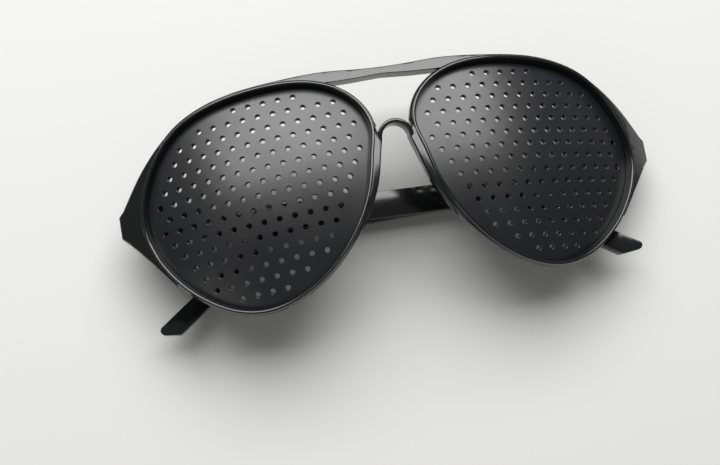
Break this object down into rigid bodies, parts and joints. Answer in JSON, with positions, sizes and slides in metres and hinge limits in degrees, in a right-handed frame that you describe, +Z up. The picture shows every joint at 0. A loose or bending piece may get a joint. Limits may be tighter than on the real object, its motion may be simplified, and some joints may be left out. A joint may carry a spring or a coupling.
{
  "type": "pinhole glasses",
  "caption": "Folded pinhole glasses: a moulded pilot front with a brow bar and nose arch, curved plates full of small round holes, and hinged temples.",
  "frame": {"origin": "centre of the bounding box's bottom face, on the table the folded glasses lie on", "axes": "+Z up from the table; +X level, towards the wearer's left end of the front; +Y level, towards the brow. The glasses lie folded, front up, on the flat outer face of the left temple"},
  "size_m": [0.1396, 0.0576, 0.0291],
  "materials": {
    "front_black": "polished black injection moulding",
    "temple_black": "polished black injection moulding",
    "plate_grey": "satin dark grey moulding",
    "hinge_steel": "stamped steel",
    "screw_steel": "turned steel"
  },
  "bodies": {
    "front": {"front_frame": "front_black", "left_pinhole_plate": "plate_grey", "right_pinhole_plate": "plate_grey", "left_hinge_front_leaf": "hinge_steel", "right_hinge_front_leaf": "hinge_steel", "left_hinge_screw": "screw_steel", "right_hinge_screw": "screw_steel"},
    "left_temple_body": {"left_temple": "temple_black", "left_hinge_temple_leaf": "hinge_steel"},
    "right_temple_body": {"right_temple": "temple_black", "right_hinge_temple_leaf": "hinge_steel"}
  },
  "joints": [
    {"name": "left_temple_hinge", "type": "hinge", "parent": "front", "child": "left_temple_body", "pos_m": [0.06366, -0.00103, 0.006], "axis": [0, -1, 0], "range_deg": [0, 89]},
    {"name": "right_temple_hinge", "type": "hinge", "parent": "front", "child": "right_temple_body", "pos_m": [-0.06385, -0.00103, 0.0107], "axis": [0, 1, 0], "range_deg": [0, 92.5]}
  ]
}
